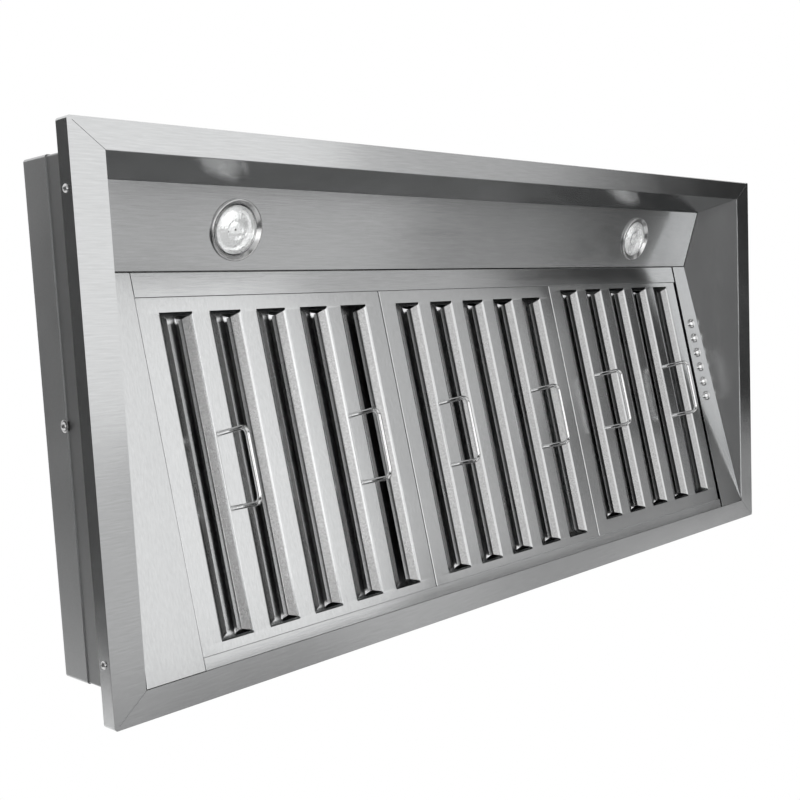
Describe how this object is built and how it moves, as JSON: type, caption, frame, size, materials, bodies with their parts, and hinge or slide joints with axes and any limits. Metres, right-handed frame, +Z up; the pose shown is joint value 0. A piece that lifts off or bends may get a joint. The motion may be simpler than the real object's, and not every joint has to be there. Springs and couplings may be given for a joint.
{
  "type": "range hood insert",
  "caption": "Wide steel liner hood that hangs in a cabinet over a cooktop: sloping baffle filters with wire handles, a light panel, push buttons and a ducted blower.",
  "frame": {"origin": "centre of the face frame's underside, where the hood hangs in the opening of its cabinet", "axes": "+Z up into the cabinet, +X to the cook's right, -Y towards the cook, where the light panel is"},
  "size_m": [1.1728, 0.525, 0.416],
  "materials": {
    "frame": "brushed",
    "casing": "plain mill finish",
    "liner": "brushed",
    "fixings": "bright",
    "filters": "fine brushed",
    "bright": "polished",
    "nuts": "bright",
    "lens": "faceted",
    "reflector": "bright",
    "lamp_body": "cast",
    "switches": "matt",
    "galvanised": "zinc coated",
    "board": "satin",
    "terminals": "matt",
    "capacitor": "gloss",
    "motor": "satin black",
    "wheel": "zinc coated",
    "shaft": "ground"
  },
  "bodies": {
    "hood": {"face_frame": "frame", "casing_skirt": "casing", "upper_shell": "casing", "recess_front_wall": "liner", "recess_left_wall": "liner", "recess_right_wall": "liner", "light_panel": "liner", "left_filler": "liner", "right_filler": "liner", "front_rail": "liner", "rear_rail": "liner", "frame_screws": "fixings", "shell_screws": "fixings", "blower_box_screws": "fixings", "left_lamp_trim": "bright", "right_lamp_trim": "bright", "left_lamp_lens": "lens", "right_lamp_lens": "lens", "left_lamp_reflector": "reflector", "right_lamp_reflector": "reflector", "left_lamp_body": "lamp_body", "right_lamp_body": "lamp_body", "switch_block": "switches", "control_box": "galvanised", "control_box_cover": "galvanised", "blower_box": "galvanised", "blower_scroll": "galvanised", "motor_bracket": "galvanised", "duct_collar": "galvanised", "control_board": "board", "terminal_block": "terminals", "run_capacitor": "capacitor", "motor": "motor", "damper_rod": "shaft"},
    "left_filter": {"left_filter_pan": "filters", "left_filter_rear_baffle": "filters", "left_filter_handles": "bright", "left_filter_nuts": "nuts"},
    "middle_filter": {"middle_filter_pan": "filters", "middle_filter_rear_baffle": "filters", "middle_filter_handles": "bright", "middle_filter_nuts": "nuts"},
    "right_filter": {"right_filter_pan": "filters", "right_filter_rear_baffle": "filters", "right_filter_handles": "bright", "right_filter_nuts": "nuts"},
    "button_1_body": {"button_1": "bright"},
    "button_2_body": {"button_2": "bright"},
    "button_3_body": {"button_3": "bright"},
    "button_4_body": {"button_4": "bright"},
    "button_5_body": {"button_5": "bright"},
    "button_6_body": {"button_6": "bright"},
    "blower_wheel": {"fan_wheel": "wheel", "fan_shaft": "shaft"},
    "left_damper": {"left_damper_flap": "galvanised"},
    "right_damper": {"right_damper_flap": "galvanised"}
  },
  "joints": [
    {"name": "left_filter_slide", "type": "slide", "parent": "hood", "child": "left_filter", "axis": [0, -0.9782, 0.2074], "range_m": [0, 0.012]},
    {"name": "middle_filter_slide", "type": "slide", "parent": "hood", "child": "middle_filter", "axis": [0, -0.9782, 0.2074], "range_m": [0, 0.012]},
    {"name": "right_filter_slide", "type": "slide", "parent": "hood", "child": "right_filter", "axis": [0, -0.9782, 0.2074], "range_m": [-0.0088, 0.0032]},
    {"name": "button_1_press", "type": "slide", "parent": "hood", "child": "button_1_body", "axis": [0, 0.2074, 0.9782], "range_m": [0, 0.002], "stiffness_N_per_m": 300},
    {"name": "button_2_press", "type": "slide", "parent": "hood", "child": "button_2_body", "axis": [0, 0.2074, 0.9782], "range_m": [0, 0.002], "stiffness_N_per_m": 300},
    {"name": "button_3_press", "type": "slide", "parent": "hood", "child": "button_3_body", "axis": [0, 0.2074, 0.9782], "range_m": [0, 0.002], "stiffness_N_per_m": 300},
    {"name": "button_4_press", "type": "slide", "parent": "hood", "child": "button_4_body", "axis": [0, 0.2074, 0.9782], "range_m": [0, 0.002], "stiffness_N_per_m": 300},
    {"name": "button_5_press", "type": "slide", "parent": "hood", "child": "button_5_body", "axis": [0, 0.2074, 0.9782], "range_m": [0, 0.002], "stiffness_N_per_m": 300},
    {"name": "button_6_press", "type": "slide", "parent": "hood", "child": "button_6_body", "axis": [0, 0.2074, 0.9782], "range_m": [0, 0.002], "stiffness_N_per_m": 300},
    {"name": "wheel_spin", "type": "hinge", "parent": "hood", "child": "blower_wheel", "pos_m": [0, 0.06, 0.221], "axis": [1, 0, 0], "continuous": true},
    {"name": "left_damper_swing", "type": "hinge", "parent": "hood", "child": "left_damper", "pos_m": [0, 0, 0.362], "axis": [0, 1, 0], "range_deg": [0, 80]},
    {"name": "right_damper_swing", "type": "hinge", "parent": "hood", "child": "right_damper", "pos_m": [0, 0, 0.362], "axis": [0, -1, 0], "range_deg": [0, 80]}
  ]
}
